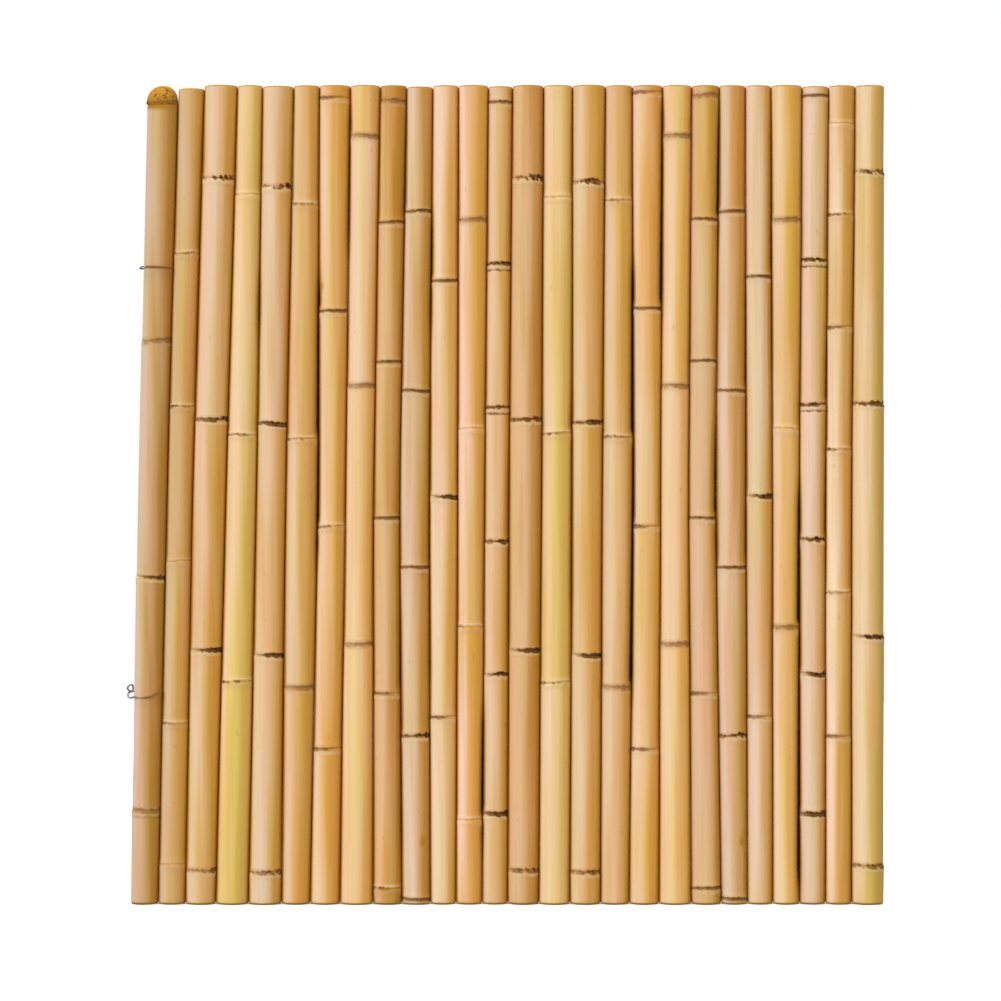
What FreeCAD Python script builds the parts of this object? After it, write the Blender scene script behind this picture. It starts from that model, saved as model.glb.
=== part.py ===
"""Bamboo fence panel: a row of upright poles strung side by side on two galvanised wires.

Millimetres, +Z up. The origin is on the ground under the middle of the row, X runs along the row
and the front of the panel faces -Y. Each pole is a natural culm: it tapers, it bows a little, it
steps in above every node, and it is open at a sawn end as far as the first node.
"""

import FreeCAD
import Part
import math
import os
from collections import namedtuple

# The panel
PANEL_HEIGHT = 914.0
POLE_CLEARANCE = 0.2

# How a pole is grown and sawn
POLE_SIDES = 12
POLE_WALL = 4.5
NODE_STEP = 0.8
NODE_STEP_HEIGHT = 2.0
SEPTUM_THICKNESS = 3.0
HOLLOW_SIDES = 6
SHALLOWEST_HOLLOW = 3.0
DOME_RISE = 22.0
DOME_TURN_DEG = 75.0
DOME_STEPS = 3

# The wires that string the poles together
WIRE_DIAMETER = 2.0
WIRE_SIDES = 8
LOWER_WIRE_HEIGHT = 237.0
UPPER_WIRE_DROP = 204.0
WIRE_HOLE_SIDES = 6
WIRE_HOLE_CLEARANCE = 0.3
WIRE_END_PAST_AXIS = 4.0

# The wire's tail, turned back round the front of the first pole
TAIL_CLEARANCE = 0.3
TAIL_BEND_RADIUS = 2.2
TAIL_STANDOFF = 4.0

# Cutters run this far past the surface that they open
OVERCUT = 1.0

# Each pole from left to right: its diameter at the foot, at half height and at the head, the heights
# of its nodes above the foot, how far its head is sawn below the panel's top, and whether that head
# is closed and rounded off
Pole = namedtuple("Pole", "foot middle head nodes short domed", defaults=(0.0, False))
POLES = [
    Pole(31.5, 33.0, 34.5, (105, 365, 629, 891), domed=True),
    Pole(30.5, 28.5, 29.0, (44, 202, 382, 555, 726), short=3.5),
    Pole(33.5, 37.0, 36.5, (38, 284, 541, 810)),
    Pole(36.5, 34.0, 28.0, (248, 523, 792)),
    Pole(36.5, 32.5, 34.5, (36, 278, 536, 801), short=1.0),
    Pole(32.0, 36.0, 28.5, (242, 519, 781)),
    Pole(33.0, 30.5, 34.5, (173, 421, 662, 900)),
    Pole(37.0, 31.0, 33.0, (290, 579, 857)),
    Pole(32.0, 29.0, 29.5, (18, 235, 431, 605, 761, 896)),
    Pole(31.5, 33.0, 29.0, (6, 188, 376, 573, 773), short=1.5),
    Pole(28.5, 31.5, 28.5, (209, 455, 696)),
    Pole(29.0, 30.0, 33.0, (94, 309, 530, 764)),
    Pole(28.5, 27.0, 27.0, (101, 256, 405, 555, 715, 895), short=1.0),
    Pole(34.5, 36.0, 34.5, (38, 284, 541, 810)),
    Pole(34.5, 34.0, 32.0, (248, 525, 789)),
    Pole(34.0, 33.5, 36.5, (36, 278, 538, 806)),
    Pole(32.0, 34.5, 30.0, (242, 521, 786)),
    Pole(33.0, 30.5, 33.5, (173, 422, 665, 906)),
    Pole(36.0, 31.0, 32.5, (290, 578, 857)),
    Pole(33.0, 30.0, 30.5, (18, 235, 431, 606, 764, 902)),
    Pole(29.5, 33.5, 29.0, (6, 188, 376, 573, 773)),
    Pole(28.0, 29.5, 28.5, (209, 456, 700)),
    Pole(29.5, 30.0, 34.5, (309, 530, 764)),
    Pole(29.0, 29.0, 29.5, (101, 257, 407, 558, 719, 902), short=1.0),
    Pole(29.0, 29.0, 29.5, (187, 348, 507, 644, 769, 871)),
    Pole(36.5, 36.5, 32.5, (43, 299, 559, 818)),
]

HALF_HEIGHT = PANEL_HEIGHT / 2
WIRE_RADIUS = WIRE_DIAMETER / 2
UPPER_WIRE_HEIGHT = PANEL_HEIGHT - UPPER_WIRE_DROP
WIRE_HEIGHTS = {"lower_wire": LOWER_WIRE_HEIGHT, "upper_wire": UPPER_WIRE_HEIGHT}


def along_pole(foot, middle, head, z):
    """A value at height z, in two straight stretches that meet at half height."""
    if z < HALF_HEIGHT:
        return foot + (middle - foot) * z / HALF_HEIGHT
    return middle + (head - middle) * (z - HALF_HEIGHT) / HALF_HEIGHT


def packed_centres(station):
    """Where each pole's axis crosses one station, packed leftwards from the row's straight right edge."""
    foot_width = sum(pole.foot for pole in POLES) + POLE_CLEARANCE * (len(POLES) - 1)
    edge = foot_width / 2
    centres = []
    for pole in reversed(POLES):
        diameter = getattr(pole, station)
        centres.insert(0, edge - diameter / 2)
        edge -= diameter + POLE_CLEARANCE
    return centres


POLE_CENTRES = list(zip(*(packed_centres(station) for station in ("foot", "middle", "head"))))


def axis_x(index, z):
    """X of a pole's axis at height z."""
    return along_pole(*POLE_CENTRES[index], z)


def full_radius(index, z):
    """Radius of a pole at height z, where it swells to a node."""
    pole = POLES[index]
    return along_pole(pole.foot, pole.middle, pole.head, z) / 2


def corner_radius(index, z):
    """How far the corners between a pole's flats stand from its axis."""
    return full_radius(index, z) / math.cos(math.pi / POLE_SIDES)


def outline(x, flat_radius, z, sides):
    """A level ring of flats round the point x, each flat standing flat_radius away."""
    corner = flat_radius / math.cos(math.pi / sides)
    turns = [2 * math.pi * (side + 0.5) / sides for side in range(sides + 1)]
    return Part.makePolygon(
        [FreeCAD.Vector(x + corner * math.cos(turn), corner * math.sin(turn), z) for turn in turns]
    )


def head_height(pole):
    """Height of a pole's upper saw cut."""
    return PANEL_HEIGHT - pole.short


def standing_nodes(pole):
    """The nodes that are left between the two saw cuts, with room for their step."""
    room = NODE_STEP_HEIGHT
    return [z for z in sorted(pole.nodes) if room < z < head_height(pole) - room]


def internodes(pole):
    """The stretches between nodes, from the foot up, each as its lowest and highest point."""
    half_step = NODE_STEP_HEIGHT / 2
    nodes = standing_nodes(pole)
    starts = [0.0] + [z + half_step for z in nodes]
    ends = [z - half_step for z in nodes] + [head_height(pole)]
    return list(zip(starts, ends))


def dome_rings(z_base, base_radius, rise):
    """Rings of the rounded head that closes a pole sawn just above a node."""
    full_turn = math.radians(DOME_TURN_DEG)
    rings = []
    for step in range(1, DOME_STEPS + 1):
        turn = full_turn * step / DOME_STEPS
        z = z_base + rise * math.sin(turn) / math.sin(full_turn)
        rings.append((z, base_radius * math.cos(turn)))
    return rings


def skin_radius(index, low, high, z):
    """Radius of a pole at height z in the stretch from low to high, which widens towards its node."""
    return full_radius(index, z) - NODE_STEP * (high - z) / (high - low)


def pole_rings(index):
    """Height and radius of each ring of a pole's skin, from the foot up."""
    pole = POLES[index]
    head = head_height(pole)
    rings = []
    for low, high in internodes(pole):
        rise = min(DOME_RISE, high - low) if pole.domed and high == head else 0.0
        heights = [low]
        if low < HALF_HEIGHT < high - rise:
            heights.append(HALF_HEIGHT)
        if high - rise > low:
            heights.append(high - rise)
        rings += [(z, skin_radius(index, low, high, z)) for z in heights]
        if rise:
            rings += dome_rings(high - rise, rings[-1][1], rise)
    return rings


def hollow(index, z_mouth, z_floor):
    """The open hollow behind a sawn end, from past its mouth to the face of the first septum."""
    outward = math.copysign(OVERCUT, z_mouth - z_floor)
    sections = []
    for z in (z_mouth + outward, z_floor):
        radius = full_radius(index, z) - NODE_STEP - POLE_WALL
        sections.append(outline(axis_x(index, z), radius, z, HOLLOW_SIDES))
    return Part.makeLoft(sections, True, True)


def hollows(index):
    """Both end hollows of a pole, apart from any that a node closes at the cut."""
    pole = POLES[index]
    half_septum = SEPTUM_THICKNESS / 2
    nodes = standing_nodes(pole)
    head = head_height(pole)
    found = []
    if nodes[0] - half_septum > SHALLOWEST_HOLLOW:
        found.append(hollow(index, 0.0, nodes[0] - half_septum))
    if not pole.domed and head - nodes[-1] - half_septum > SHALLOWEST_HOLLOW:
        found.append(hollow(index, head, nodes[-1] + half_septum))
    return found


def wire_end_x(z):
    """Where a wire stops, inside the last pole."""
    return axis_x(len(POLES) - 1, z) + WIRE_END_PAST_AXIS


def wire_hole(index, z):
    """The passage drilled through a pole for one wire, blind in the last pole."""
    x = axis_x(index, z)
    reach = corner_radius(index, z) + OVERCUT
    end = x + reach
    if index == len(POLES) - 1:
        end = wire_end_x(z) + WIRE_HOLE_CLEARANCE
    corner = (WIRE_RADIUS + WIRE_HOLE_CLEARANCE) / math.cos(math.pi / WIRE_HOLE_SIDES)
    turns = [2 * math.pi * side / WIRE_HOLE_SIDES for side in range(WIRE_HOLE_SIDES + 1)]
    section = Part.makePolygon(
        [FreeCAD.Vector(x - reach, corner * math.cos(t), z + corner * math.sin(t)) for t in turns]
    )
    return Part.Face(section).extrude(FreeCAD.Vector(end - x + reach, 0, 0))


def bamboo_pole(index):
    """One pole: the stepped skin, less its end hollows and the holes for the wires."""
    rings = pole_rings(index)
    skin = [outline(axis_x(index, z), radius, z, POLE_SIDES) for z, radius in rings]
    solid = Part.makeLoft(skin, True, True)
    holes = [wire_hole(index, z) for z in WIRE_HEIGHTS.values()]
    return solid.cut(hollows(index) + holes)


def wire_section(x, y, z, heading_deg):
    """A wire's section at a point, square to the level way that it runs."""
    sideways = math.radians(heading_deg + 90)
    corner = WIRE_RADIUS / math.cos(math.pi / WIRE_SIDES)
    points = []
    for side in range(WIRE_SIDES + 1):
        turn = 2 * math.pi * (side + 0.5) / WIRE_SIDES
        out = corner * math.cos(turn)
        up = corner * math.sin(turn)
        points.append(FreeCAD.Vector(x + out * math.cos(sideways), y + out * math.sin(sideways), z + up))
    return Part.Face(Part.makePolygon(points))


def wire_bend(centre_x, centre_y, radius, start_deg, end_deg, z):
    """A level bend of wire about a point, from one bearing round to another."""
    turn = math.radians(start_deg)
    x = centre_x + radius * math.cos(turn)
    y = centre_y + radius * math.sin(turn)
    section = wire_section(x, y, z, start_deg + 90)
    centre = FreeCAD.Vector(centre_x, centre_y, z)
    return section.revolve(centre, FreeCAD.Vector(0, 0, 1), end_deg - start_deg)


def tail_end_bearing(z):
    """Bearing, from the first pole's axis, at which the tail is stopped by the second pole."""
    wrap = corner_radius(0, z) + WIRE_RADIUS + TAIL_CLEARANCE
    limit = corner_radius(1, z) + WIRE_RADIUS + TAIL_CLEARANCE
    between = axis_x(1, z) - axis_x(0, z)
    cosine = (wrap**2 + between**2 - limit**2) / (2 * wrap * between)
    return 360 - math.degrees(math.acos(cosine))


def binding_wire(z):
    """One wire: out through the first pole, a tight bend, and back across that pole's front.

    The bend leads into an arc that starts proud of the pole and meets its front, and a second arc
    lies against the pole from there into the groove beside the next one.
    """
    x = axis_x(0, z)
    wrap = corner_radius(0, z) + WIRE_RADIUS + TAIL_CLEARANCE
    sweep = wrap + TAIL_STANDOFF
    drop = TAIL_BEND_RADIUS + TAIL_STANDOFF
    bend_x = x - math.sqrt((sweep - TAIL_BEND_RADIUS) ** 2 - drop**2)
    meeting = 180 + math.degrees(math.atan2(drop, x - bend_x))
    end_x = wire_end_x(z)
    run = wire_section(end_x, 0, z, 180).extrude(FreeCAD.Vector(bend_x - end_x, 0, 0))
    bend = wire_bend(bend_x, -TAIL_BEND_RADIUS, TAIL_BEND_RADIUS, 90, meeting, z)
    front_left = wire_bend(x, TAIL_STANDOFF, sweep, meeting, 270, z)
    front_right = wire_bend(x, 0, wrap, 270, tail_end_bearing(z), z)
    return run.fuse([bend, front_left, front_right])


def main():
    os.makedirs("parts", exist_ok=True)
    for index in range(len(POLES)):
        bamboo_pole(index).exportStep(f"parts/bamboo_pole_{index + 1:02d}.step")
    for name, z in WIRE_HEIGHTS.items():
        binding_wire(z).exportStep(f"parts/{name}.step")


main()
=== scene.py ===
"""Looks of the bamboo fence panel: round, jointed bamboo culms and galvanised binding wires.

Metres, +Z up, the front facing -Y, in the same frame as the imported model. Each culm takes its taper, its
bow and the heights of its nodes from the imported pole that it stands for.
"""

import bmesh
import bpy
import math
import random
from collections import namedtuple
from mathutils import Matrix, Vector


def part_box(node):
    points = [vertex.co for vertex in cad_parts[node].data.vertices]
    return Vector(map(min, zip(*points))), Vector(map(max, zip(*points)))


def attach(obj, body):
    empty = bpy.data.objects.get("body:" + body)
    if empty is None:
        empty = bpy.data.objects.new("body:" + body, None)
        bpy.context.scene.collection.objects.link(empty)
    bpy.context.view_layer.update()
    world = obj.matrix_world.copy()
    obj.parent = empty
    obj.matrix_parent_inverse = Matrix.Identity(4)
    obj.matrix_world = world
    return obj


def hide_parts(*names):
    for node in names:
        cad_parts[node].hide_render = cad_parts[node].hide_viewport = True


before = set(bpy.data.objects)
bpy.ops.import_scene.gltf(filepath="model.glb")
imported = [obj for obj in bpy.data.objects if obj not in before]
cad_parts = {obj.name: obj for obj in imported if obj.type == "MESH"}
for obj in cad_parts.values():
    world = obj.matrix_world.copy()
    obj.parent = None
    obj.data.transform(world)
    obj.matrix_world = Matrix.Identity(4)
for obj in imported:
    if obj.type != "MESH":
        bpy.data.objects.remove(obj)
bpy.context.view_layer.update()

MM = 0.001

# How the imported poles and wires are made
POLE_FLATS = 12
NODE_STEP = 0.8 * MM
NODE_STEP_HEIGHT = 2.0 * MM
POLE_WALL = 4.5 * MM
HALF_SEPTUM = 1.5 * MM
SHALLOWEST_HOLLOW = 3.0 * MM
PACKED_CLEARANCE = 0.2 * MM
WIRES = ("upper_wire", "lower_wire")
WIRE_RADIUS = 1.0 * MM

# The finishes of a culm: its material slots
SKIN = 0
SAWN = 1
LINING = 2

# How a culm's mesh is laid out: its columns, and the heights of its rings, which stand closer together in
# these steps, in mm, from each node, bud scar and wire
CULM_COLUMNS = 48
TURNS = [2 * math.pi * column / CULM_COLUMNS for column in range(CULM_COLUMNS)]
LEVEL_SPACING = 15 * MM
HOLLOW_SPACING = 30 * MM
NODE_ROOM = 30 * MM
CLOSEST_LEVELS = 0.35 * MM
LEVELS_BY_NODE = (
    -24, -16, -11, -9.2, -8.0, -6.8, -5.4, -4.2, -3.2, -2.3, -1.6, -1.0, -0.5,
    0, 0.5, 1.0, 1.7, 2.6, 3.8, 5.5, 8, 12, 18, 26,
)
LEVELS_BY_BUD = (-4, -2.5, -1.2, 0, 1.2, 2.5, 4)
LEVELS_BY_WIRE = (-4.0, -2.4, -1.6, 1.6, 2.4, 4.0)
SHARP_EDGE_DEG = 40

# How a culm wanders: its bow is rounded off over this length, and it drifts to the front and the back in
# two waves of up to this size, which turn through these angles in radians per metre
BOW_SMOOTHING = 30 * MM
DRIFT_MM = 0.5
DRIFT_TURNS = (7, 17)

# The sawn ends: the bevel inside, the rounding outside, and the darkening and browning by the cut
SAW_BEVEL = 0.4 * MM
SAW_ROUNDING = 1.8 * MM
SAW_SHOULDER = 0.35 * SAW_ROUNDING
RIM_END = 3.0 * MM
RIM_DARKENING = 3.7
RIM_FADE_PER_MM = 2.5
RIM_BROWNING = 0.1
RIM_BROWNING_MM = 2.0

# The rounded knob that closes the first culm's head, swollen towards its open side, and the grimy ledge
# below it
KNOB_STEPS = 14
KNOB_FULLNESS = 2.5
KNOB_SWELL = 0.7 * MM
KNOB_GRIME = 0.55
KNOB_MOTTLING = 1.2
KNOB_BROWNING = 0.5
KNOB_TOP_TONE = 0.1
KNOB_SCAR_RISE = 4 * MM
LEDGE_GRIME = 0.9
LEDGE_FADE_PER_MM = 0.5

# The holes that the wires run through, and how far the rings of the skin keep from their middle
HOLE_RADIUS = 1.3 * MM
HOLE_SIDES = 12
HOLE_OVERSHOOT = 20 * MM
HOLE_END_ROOM = 0.3 * MM
RINGS_CLEAR_OF_HOLE = HOLE_RADIUS + 0.15 * MM

# Neighbouring culms press on each other by a hair, so no light shows between them. A node's relief dies
# away between these two shares of the way out to a neighbour.
CULM_PRESS = 0.012 * MM
SIDE_EXTRA = (PACKED_CLEARANCE + CULM_PRESS) / 2
TOUCH_START = 0.90
TOUCH_FULL = 0.985

# Painted shade in the crevices, in brown: its width in mm just below a node and how much more it is just
# above one, how far a node shuts the crevice and where, over which height a wide stretch fades in, and how
# far the painted shade reaches out on a culm's left and right side, further on the right, away from the
# light
CREVICE_WIDTH = 0.25
WAIST_WIDENING = 0.7
NODE_SHUTS = 0.9
NODE_SHUTS_AT = (-2.0, 7.0)
CREVICE_FADE_MM = 25
PAINTED_SHADE_REACH = {-1: 0.8, 1: 1.5}
NO_CREASE = -9.0

# Where a node's forms and marks lie, in mm from its scar. The forms also have their spread.
BAND_BELOW_MM = 4.6
BAND_ABOVE_MM = 2.8
SECOND_SCAR_MM = 7.5
SHOULDER_AT = (-3.6, 2.4)
FLARE_AT = (2.6, 2.0)
GROOVE_AT = (0.0, 0.75)
SECOND_GROOVE_AT = (-SECOND_SCAR_MM, 0.7)
SECOND_GROOVE_MM = 0.35

# Distances from a node's scar in mm: its marks are whole up to the first and gone past the second, its
# waviness is gone past the third, and no distance is kept as more than the last
MARKS_FULL = 18.0
MARKS_GONE = 27.0
WAVE_GONE = 14.0
SCAR_LIMIT = 30.0

# How strong the finer waves of a node are, and over which height waviness dies away by a sawn end
FINE_WAVES = 0.6
END_ROOM = 8 * MM

# What each kind of node looks like. Relief in mm: the shoulder below the scar, the groove of the scar and
# the flare above it. Marks: how dark the scar is, partly painted shadow in its groove, its half width and
# raggedness in mm, how broken it is, the pale bands below and above it, which are painted highlights, a
# second scar lower down, and a brown stain. Wave in mm: how far it wanders. Lean: how much heavier the scar
# is towards the right, or with a minus sign towards the left.
NodeLook = namedtuple(
    "NodeLook", "shoulder groove flare ink width ragged broken below above second stain wave lean"
)
NODE_LOOKS = {
    "blotched": NodeLook(0.50, 0.60, 0.20, 1.00, 3.3, 1.5, 1.0, 0.85, 0.00, 0.0, 0.35, 0.9, 0.55),
    "banded": NodeLook(0.45, 0.60, 0.30, 0.95, 2.9, 1.4, 0.7, 0.75, 0.10, 0.0, 0.50, 0.7, 0.40),
    "leaning": NodeLook(0.45, 0.50, 0.30, 0.95, 2.5, 1.2, 0.5, 0.70, 0.15, 0.0, 0.40, 0.8, 0.80),
    "ringed": NodeLook(0.40, 0.40, 0.20, 0.70, 2.8, 1.3, 0.8, 0.70, 0.10, 0.0, 0.60, 0.5, 0.40),
    "lined": NodeLook(0.40, 0.50, 0.50, 0.65, 1.9, 0.7, 0.4, 0.60, 0.25, 0.0, 0.60, 0.6, 0.20),
    "short": NodeLook(0.35, 0.45, 0.30, 0.54, 1.8, 0.8, 0.5, 0.60, 0.10, 0.0, 0.50, 0.6, -0.90),
    "twice": NodeLook(0.40, 0.55, 0.30, 0.92, 2.2, 1.3, 0.6, 0.55, 0.15, 0.6, 0.50, 0.6, 0.15),
    "thick": NodeLook(0.50, 0.60, 0.30, 0.92, 3.2, 1.0, 0.4, 0.85, 0.10, 0.0, 0.60, 0.4, 0.50),
    "smudged": NodeLook(0.25, 0.30, 0.25, 0.38, 3.0, 1.0, 0.6, 0.30, 0.15, 0.0, 0.90, 0.8, 0.60),
    "mottled": NodeLook(0.35, 0.35, 0.30, 0.32, 3.4, 1.6, 0.9, 0.50, 0.30, 0.2, 1.00, 0.7, 0.20),
    "knobbed": NodeLook(0.20, 0.50, 0.20, 0.28, 3.4, 2.8, 0.9, 0.00, 0.00, 0.0, 1.20, 0.8, 0.00),
    "faint": NodeLook(0.40, 0.30, 0.40, 0.60, 1.5, 1.1, 0.9, 0.20, 0.70, 0.0, 0.35, 0.9, -0.60),
    "pale": NodeLook(0.35, 0.25, 0.40, 0.25, 1.2, 0.9, 0.8, 0.30, 0.60, 0.0, 0.15, 0.8, -0.30),
    "bare": NodeLook(0.30, 0.20, 0.30, 0.25, 1.2, 1.0, 1.0, 0.15, 0.30, 0.0, 0.25, 0.8, 0.00),
}
STROKE_SLANT_DEG = 40
LEAN_OF_INK = 1.3
LEAN_OF_WIDTH = 0.55

# The tints of dried bamboo, each as its pale, its middle and its golden tone. Besides the paler and browner
# stretches, the pale tone is painted light on each culm's lit side, the golden tone painted shade on the
# other
TINTS = {
    "umber": ("#d6baa2", "#cca270", "#b88838"),
    "amber": ("#d6b994", "#d3ac78", "#d09c4e"),
    "tan": ("#e2c5a2", "#ddb078", "#d29c46"),
    "straw": ("#eccea6", "#e7c382", "#dab45c"),
    "gold": ("#e9ccac", "#e6b980", "#d99e48"),
    "honey": ("#ebcda9", "#eac188", "#e3ac58"),
    "brown": ("#dcb586", "#ce9b5a", "#be8630"),
    "russet": ("#dcb994", "#daa971", "#c8923e"),
    "sage": ("#e0c5ac", "#d4aa76", "#c58f3d"),
    "cream": ("#ecd2b3", "#e6be8a", "#dca64e"),
    "peach": ("#f0cfb6", "#e2b278", "#dda14a"),
    "rose": ("#e6c9af", "#dcb684", "#d09c4c"),
    "ivory": ("#f4d8bc", "#dfb986", "#cf9a4a"),
    "green_gold": ("#e9cda6", "#d8b26e", "#cca452"),
}

# The colours of the marks on the rind
FLECK = "#8a5c28"
STAIN = "#94602a"
# Painted highlight of the pale bands on the ledge below a scar and the flare above it
PAINTED_BAND_HIGHLIGHT = "#f4daa8"
# Grime in the bud scars and on the knob, painted shade in the crevices, and darkening by the saw cuts
GRIME_AND_SHADE = "#ae7b2a"
GRIME_AND_SHADE_CORE = "#241002"
# The scar's colours, which also paint shadow along its groove
SCAR_EDGE = "#875823"
SCAR_INK = "#2a1302"

# The tone of a culm, from 0 golden to 1 pale: its mean, its swing round the culm, which is painted light,
# pale on the lit side and golden on the shaded side, the bearing of the lit side, and how much that bearing
# and the stretches between nodes vary
TONE_MEAN = 0.43
PAINTED_LIGHT_SWING = 0.46
TONE_SPREAD = 0.11
PLAIN_TONE = 0.5
PAINTED_LIT_SIDE_DEG = 192
PAINTED_LIT_SIDE_SPREAD_DEG = 18

# Each culm from left to right: its tint and its kinds of node from the foot up
CULMS = [
    ("umber", "mottled leaning smudged knobbed"),
    ("amber", "bare faint bare faint faint"),
    ("tan", "ringed leaning banded blotched"),
    ("straw", "faint faint pale"),
    ("tan", "ringed leaning banded blotched"),
    ("tan", "smudged faint faint"),
    ("gold", "short faint lined short"),
    ("honey", "smudged smudged smudged"),
    ("brown", "faint short lined lined lined smudged"),
    ("sage", "lined banded lined lined lined"),
    ("cream", "short leaning lined"),
    ("peach", "pale faint pale smudged"),
    ("tan", "thick leaning banded twice twice lined"),
    ("brown", "ringed leaning banded blotched"),
    ("straw", "faint faint pale"),
    ("tan", "ringed leaning banded blotched"),
    ("tan", "smudged faint faint"),
    ("gold", "short short lined short"),
    ("honey", "smudged smudged smudged"),
    ("russet", "lined short lined lined lined smudged"),
    ("sage", "lined banded lined lined lined"),
    ("rose", "short leaning lined"),
    ("cream", "smudged pale smudged"),
    ("rose", "thick leaning banded twice twice lined"),
    ("ivory", "short faint faint short faint pale"),
    ("green_gold", "ringed leaning banded blotched"),
]

# Stretches that are paler or browner than the rest of their culm: the culm, from and to which height in mm,
# and how much paler, or with a minus sign how much browner
STRETCHES = [
    (1, 629, 914, -0.15), (5, 36, 278, -0.12), (5, 801, 914, -0.12), (7, 421, 662, 0.15),
    (8, 857, 914, -0.15), (9, 761, 914, -0.20), (10, 376, 573, 0.14), (11, 456, 696, 0.10),
    (12, 309, 530, 0.20), (13, 555, 715, -0.12), (17, 786, 914, 0.13), (18, 422, 665, 0.12),
    (20, 764, 914, -0.15), (25, 0, 187, -0.14), (25, 348, 507, 0.18), (25, 769, 871, 0.12),
]

# Where the painted shade in the crevice to the right of a culm is wide and dark: the culm, from and to
# which height, and how much wider it is there, in mm
DARK_CREVICES = [
    (2, 600, 860, 0.6), (4, 640, 700, 1.2), (5, 60, 260, 0.5), (6, 380, 700, 1.6), (7, 730, 890, 1.3),
    (9, 60, 330, 1.0), (9, 760, 880, 1.0), (10, 250, 570, 0.8), (10, 640, 770, 1.4), (12, 60, 220, 1.4),
    (13, 300, 500, 0.6), (15, 330, 560, 0.8), (17, 230, 720, 1.7), (18, 660, 900, 1.5), (20, 380, 540, 1.4),
    (20, 740, 890, 1.4), (21, 380, 700, 0.8), (22, 600, 880, 0.8), (23, 20, 470, 1.7), (24, 380, 640, 0.8),
]

# Small brown bud scars, in mm and degrees: the culm, the height, the bearing from the front towards the
# right and the radius. They are longer than wide, and lightly grimed.
BudScar = namedtuple("BudScar", "culm height bearing radius")
BUD_SCARS = [
    BudScar(7, 690, -58, 1.5),
    BudScar(10, 70, 35, 1.8),
    BudScar(13, 200, 60, 1.4),
    BudScar(16, 232, 62, 1.6),
    BudScar(21, 70, 40, 1.4),
]
BUD_SLIMNESS = 0.7
BUD_GRIME = 0.6

# Points of the wires' left ends, in mm: out from the first culm, back from the row's middle and up from the
# hole. The upper wire has a tight hook, the lower wire two eyes, one above the other.
UPPER_HOOK = [(2.8, 0.2, -0.4), (3.6, -1.8, 0.0), (2.4, -4.6, 1.7)]
LOWER_EYES = [
    (3.4, -0.4, 0.0), (7.0, -0.8, 1.4), (7.2, -1.2, 5.2), (4.2, -1.4, 8.0), (1.2, -0.6, 7.2),
    (1.2, 2.0, 4.6), (1.2, 2.6, 1.6), (2.8, 2.0, -0.6), (6.4, 0.6, -1.0), (7.4, -0.6, -4.4),
    (5.0, -1.8, -7.6), (1.6, -3.8, -6.8),
]

# How each wire leaves the row and lies across the front of the first culm, in mm and degrees: the finished
# piece, how far it runs straight out, its bends, the heights from the hole and the bearings of its tail's
# two ends, the share of the tail that runs level, and the width over which it turns from grey to pale and
# brown
WireEnd = namedtuple("WireEnd", "piece straight bends heights bearings level_share tarnish")
WIRE_ENDS = {
    "upper_wire": WireEnd("upper_binding_wire", 0.5, UPPER_HOOK, (1.6, 0.6), (212, 331), 0.0, 5),
    "lower_wire": WireEnd("lower_binding_wire", 0.8, LOWER_EYES, (-5.6, 0.8), (206, 333), 0.5, 16),
}
STRAIGHT_RUN = (0.2, -0.2)
INSIDE_FIRST_CULM = 4 * MM
WIRE_LIFT_MM = 1.15
END_LIFT_MM = 0.4
POINTS_ROUND_FRONT = 12
WIRE_ROUNDNESS = 3
WIRE_FINENESS = 6

# The studio floor
FLOOR_REACH = 4.0
FLOOR_DROP = 0.5 * MM

# The camera: the photograph's scale in mm per pixel at the row, its distance and where it stands
IMAGE_PIXELS = 1001
ROW_MM_PER_PIXEL = 1.1187
CAMERA_DISTANCE = 4.0
CAMERA_SIGHT = 50.0
CAMERA_X = -7.3 * MM
CAMERA_Z = 450.5 * MM
SENSOR_MM = 36.0


def linear(code):
    """An sRGB hex value as the linear colour that shaders work in."""
    channels = [int(code[start:start + 2], 16) / 255 for start in (1, 3, 5)]
    return tuple(c / 12.92 if c <= 0.04045 else ((c + 0.055) / 1.055) ** 2.4 for c in channels) + (1.0,)


def per_mm(x, y, z):
    """The scale that makes one unit of a pattern as large as these sizes in mm."""
    return (1 / (x * MM), 1 / (y * MM), 1 / (z * MM))


def add(tree, kind, inputs=None, stops=None, **settings):
    """Add one node with its settings, inputs as values or links, and ramp stops, and give its outputs."""
    made = tree.nodes.new("ShaderNode" + kind)
    for key, value in settings.items():
        setattr(made, key, value)
    for key, value in (inputs or {}).items():
        if isinstance(value, bpy.types.NodeSocket):
            tree.links.new(value, made.inputs[key])
        else:
            made.inputs[key].default_value = value
    if stops:
        elements = made.color_ramp.elements
        elements.remove(elements[1])
        elements[0].position = stops[0][0]
        elements[0].color = stops[0][1]
        for position, colour in stops[1:]:
            elements.new(position).color = colour
    return made.outputs


def new_material(name):
    """An empty node material, its node tree, and the place on the piece, which its patterns follow."""
    material = bpy.data.materials.new(name)
    material.use_nodes = True
    tree = material.node_tree
    tree.nodes.clear()
    return material, tree, add(tree, "TexCoord")["Object"]


def in_scene(name, data):
    """A new object in the scene."""
    made = bpy.data.objects.new(name, data)
    bpy.context.scene.collection.objects.link(made)
    return made


# Materials


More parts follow.
